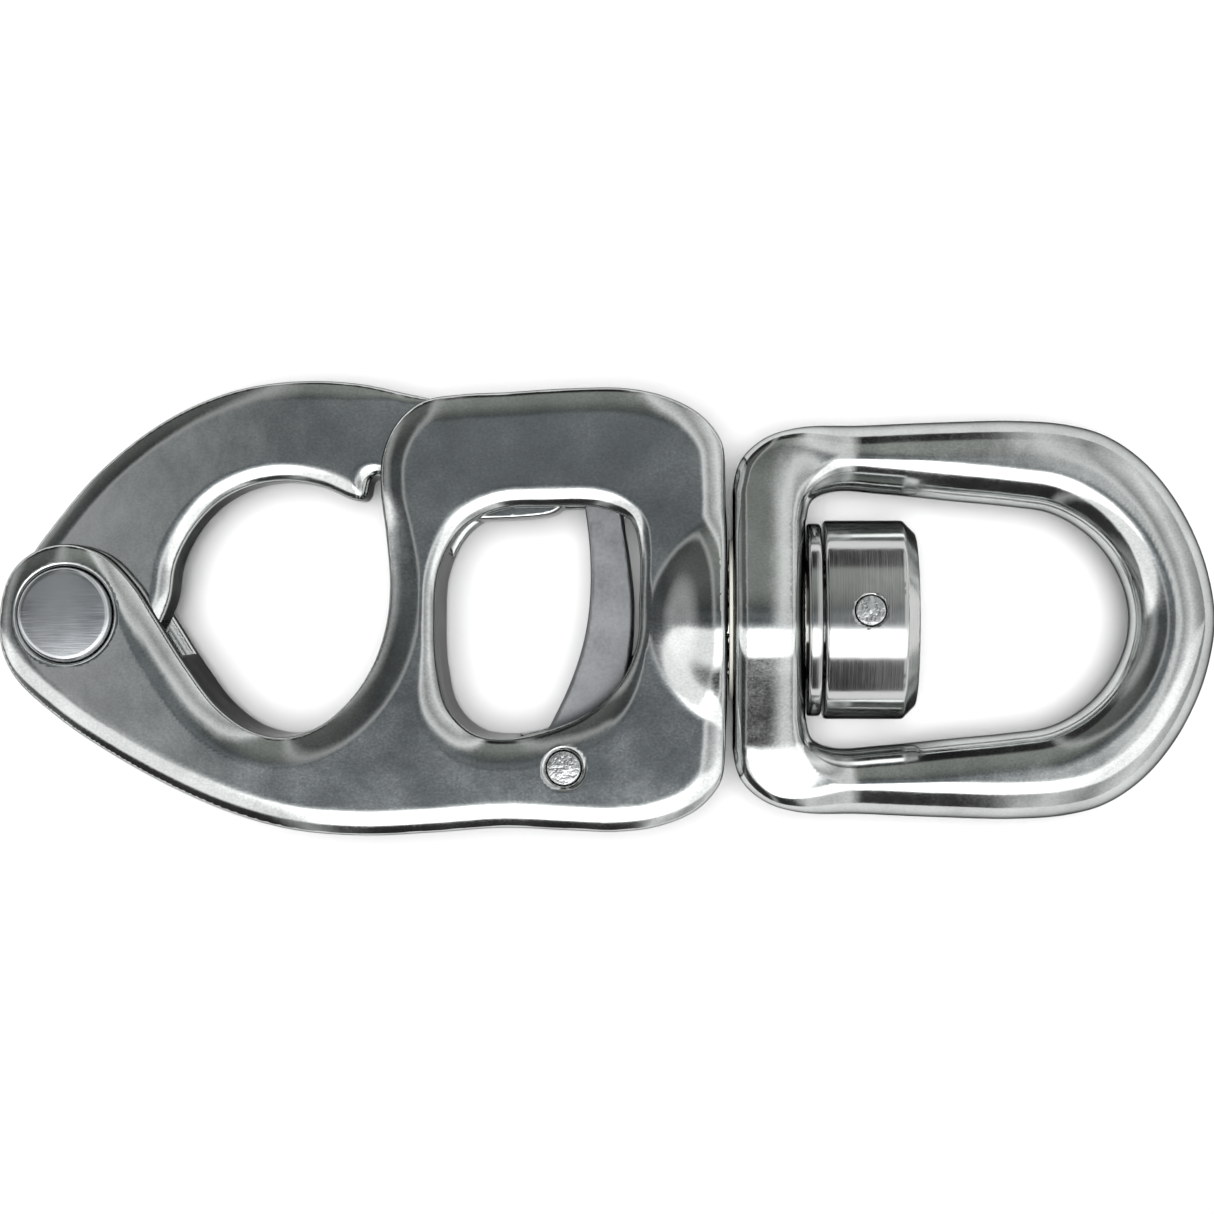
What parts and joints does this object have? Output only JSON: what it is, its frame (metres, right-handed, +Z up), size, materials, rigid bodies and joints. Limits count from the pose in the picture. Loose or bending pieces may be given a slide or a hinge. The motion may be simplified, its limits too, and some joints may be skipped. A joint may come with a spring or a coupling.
{
  "type": "snap shackle",
  "caption": "Trigger-release snap shackle: a hooked jaw on a load pin, held by a sprung trigger in a window, with a swivel eye for a halyard or sheet.",
  "frame": {"origin": "centre of the box, on the surface that the shackle lies on", "axes": "+X along the shackle from the jaw's pin to the eye, +Y across it towards the jaw's back, +Z up through the cheeks, along both pins"},
  "size_m": [0.165, 0.0618, 0.0272],
  "materials": {
    "forged_steel": "polished forged stainless steel with a faint mottle",
    "trigger_steel": "polished stainless steel",
    "pin_steel": "turned stainless steel, end face finely brushed",
    "turned_steel": "turned stainless steel with fine rings",
    "rivet_steel": "peened end of a stainless pin",
    "spring_steel": "drawn spring wire",
    "bearing_plastic": "natural acetal"
  },
  "bodies": {
    "body": {"body": "forged_steel", "jaw_pin": "pin_steel", "trigger_pin": "rivet_steel", "trigger_spring": "spring_steel", "outer_thrust_washer": "bearing_plastic", "inner_thrust_washer": "turned_steel", "swivel_nut": "turned_steel", "nut_lock_pin": "rivet_steel"},
    "jaw": {"jaw": "forged_steel"},
    "trigger": {"trigger": "trigger_steel"},
    "eye": {"swivel_eye": "forged_steel", "swivel_bush": "bearing_plastic"}
  },
  "joints": [
    {"name": "jaw_hinge", "type": "hinge", "parent": "body", "child": "jaw", "pos_m": [-0.0732, -0.00105, 0.0136], "axis": [0, 0, 1], "range_deg": [0, 95]},
    {"name": "trigger_hinge", "type": "hinge", "parent": "body", "child": "trigger", "pos_m": [-0.0059, -0.02165, 0.0136], "axis": [0, 0, -1], "range_deg": [0, 8], "stiffness_Nm_per_rad": 0.8, "springref_deg": -14.32, "deforming": ["trigger_spring"]},
    {"name": "swivel", "type": "hinge", "parent": "body", "child": "eye", "pos_m": [0.026, -0.00175, 0.0136], "axis": [1, 0, 0], "continuous": true}
  ]
}
